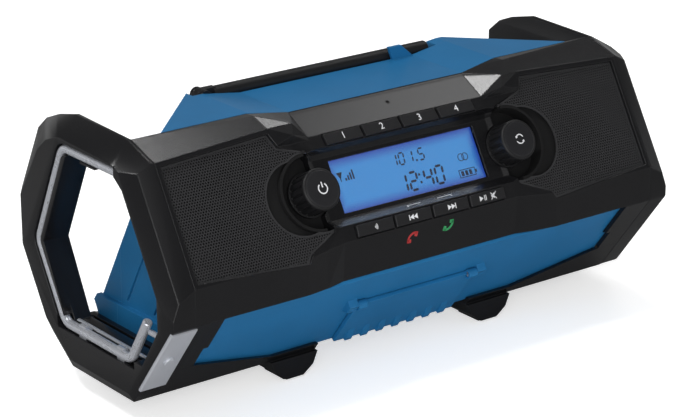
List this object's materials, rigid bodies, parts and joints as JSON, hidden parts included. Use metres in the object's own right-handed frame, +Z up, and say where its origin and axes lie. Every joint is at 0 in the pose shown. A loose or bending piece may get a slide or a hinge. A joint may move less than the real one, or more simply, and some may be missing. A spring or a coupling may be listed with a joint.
{
  "type": "jobsite radio",
  "caption": "Jobsite radio with a six-sided body between open end guards, a leaning front with speakers, display, keys and knobs, a fold-out hook and a battery.",
  "frame": {"origin": "middle of the footprint, on the ground", "axes": "+X along the radio to the right of someone facing it, front faces -Y, +Z up"},
  "size_m": [0.348, 0.1448, 0.154],
  "materials": {
    "blue_plastic": "satin moulded",
    "black_plastic": "fine texture",
    "key_plastic": "satin",
    "knob_rubber": "satin",
    "foot_rubber": "matt",
    "grille_metal": "matt perforated",
    "cone": "matt",
    "basket_steel": "matt",
    "magnet": "matt",
    "window": "clear",
    "lcd": "glossy",
    "light": "satin",
    "board": "satin",
    "component": "satin",
    "steel": "brushed",
    "socket_metal": "satin",
    "antenna_rubber": "satin"
  },
  "bodies": {
    "radio": {"antenna_bracket": "black_plastic", "antenna_pin": "steel", "aux_socket": "socket_metal", "backlight": "light", "baffle_left": "black_plastic", "baffle_right": "black_plastic", "base_left": "black_plastic", "base_right": "black_plastic", "battery_tray": "black_plastic", "dc_socket": "socket_metal", "display_window": "window", "end_guard_left": "black_plastic", "end_guard_right": "black_plastic", "flap_pins": "steel", "foot_pads": "foot_rubber", "front_bezel": "black_plastic", "front_housing": "blue_plastic", "grille_left": "grille_metal", "grille_right": "grille_metal", "hook_clip": "black_plastic", "hook_pin": "steel", "hook_plate": "steel", "hook_rod": "steel", "hook_saddles": "steel", "housing_screws": "steel", "key_switches": "component", "lcd_panel": "lcd", "main_board": "board", "plate_screw": "steel", "power_board": "board", "rear_housing": "blue_plastic", "socket_bay": "black_plastic", "speaker_basket_left": "basket_steel", "speaker_basket_right": "basket_steel", "speaker_cone_left": "cone", "speaker_cone_right": "cone", "speaker_magnet_left": "magnet", "speaker_magnet_right": "magnet", "terminal_block": "component", "tuning_encoder": "component", "usb_socket": "socket_metal", "volume_encoder": "component"},
    "volume_push": {"volume_pusher": "component"},
    "volume_dial": {"volume_knob": "knob_rubber"},
    "tuning_push": {"tuning_pusher": "component"},
    "tuning_dial": {"tuning_knob": "knob_rubber"},
    "antenna": {"antenna": "antenna_rubber"},
    "flap": {"socket_flap": "blue_plastic"},
    "hook": {"hook": "steel"},
    "pack": {"battery_pack": "black_plastic"},
    "latch": {"pack_latch": "black_plastic"},
    "preset_key_1": {"preset_key_1": "key_plastic"},
    "preset_key_2": {"preset_key_2": "key_plastic"},
    "preset_key_3": {"preset_key_3": "key_plastic"},
    "preset_key_4": {"preset_key_4": "key_plastic"},
    "pairing_key": {"pairing_key": "key_plastic"},
    "back_key": {"back_key": "key_plastic"},
    "forward_key": {"forward_key": "key_plastic"},
    "play_key": {"play_key": "key_plastic"}
  },
  "joints": [
    {"name": "preset_key_1_press", "type": "slide", "parent": "radio", "child": "preset_key_1", "axis": [0, 0.8616, -0.5075], "range_m": [0, 0.0008], "stiffness_N_per_m": 500},
    {"name": "preset_key_2_press", "type": "slide", "parent": "radio", "child": "preset_key_2", "axis": [0, 0.8616, -0.5075], "range_m": [0, 0.0008], "stiffness_N_per_m": 500},
    {"name": "preset_key_3_press", "type": "slide", "parent": "radio", "child": "preset_key_3", "axis": [0, 0.8616, -0.5075], "range_m": [0, 0.0008], "stiffness_N_per_m": 500},
    {"name": "preset_key_4_press", "type": "slide", "parent": "radio", "child": "preset_key_4", "axis": [0, 0.8616, -0.5075], "range_m": [0, 0.0008], "stiffness_N_per_m": 500},
    {"name": "pairing_key_press", "type": "slide", "parent": "radio", "child": "pairing_key", "axis": [0, 0.8616, -0.5075], "range_m": [0, 0.0008], "stiffness_N_per_m": 500},
    {"name": "back_key_press", "type": "slide", "parent": "radio", "child": "back_key", "axis": [0, 0.8616, -0.5075], "range_m": [0, 0.0008], "stiffness_N_per_m": 500},
    {"name": "forward_key_press", "type": "slide", "parent": "radio", "child": "forward_key", "axis": [0, 0.8616, -0.5075], "range_m": [0, 0.0008], "stiffness_N_per_m": 500},
    {"name": "play_key_press", "type": "slide", "parent": "radio", "child": "play_key", "axis": [0, 0.8616, -0.5075], "range_m": [0, 0.0008], "stiffness_N_per_m": 500},
    {"name": "volume_press", "type": "slide", "parent": "radio", "child": "volume_push", "axis": [0, 0.8616, -0.5075], "range_m": [0, 0.0008], "stiffness_N_per_m": 900},
    {"name": "volume_turn", "type": "hinge", "parent": "volume_push", "child": "volume_dial", "pos_m": [-0.0682, -0.04665, 0.10837], "axis": [0, -0.8616, 0.5075], "continuous": true},
    {"name": "tuning_press", "type": "slide", "parent": "radio", "child": "tuning_push", "axis": [0, 0.8616, -0.5075], "range_m": [0, 0.0008], "stiffness_N_per_m": 900},
    {"name": "tuning_turn", "type": "hinge", "parent": "tuning_push", "child": "tuning_dial", "pos_m": [0.0682, -0.04665, 0.10837], "axis": [0, -0.8616, 0.5075], "continuous": true},
    {"name": "antenna_lift", "type": "hinge", "parent": "radio", "child": "antenna", "pos_m": [-0.082, 0.031, 0.147], "axis": [0, -1, 0], "range_deg": [0, 90]},
    {"name": "flap_open", "type": "hinge", "parent": "radio", "child": "flap", "pos_m": [0, -0.05501, 0.04214], "axis": [-1, 0, 0], "range_deg": [0, 110]},
    {"name": "hook_swing", "type": "hinge", "parent": "radio", "child": "hook", "pos_m": [-0.1714, 0, 0.0369], "axis": [0, -1, 0], "range_deg": [0, 90]},
    {"name": "pack_slide", "type": "slide", "parent": "radio", "child": "pack", "axis": [0, 1, 0], "range_m": [0, 0.095]},
    {"name": "latch_press", "type": "slide", "parent": "pack", "child": "latch", "axis": [0, 0, -1], "range_m": [0, 0.0025], "stiffness_N_per_m": 400}
  ]
}
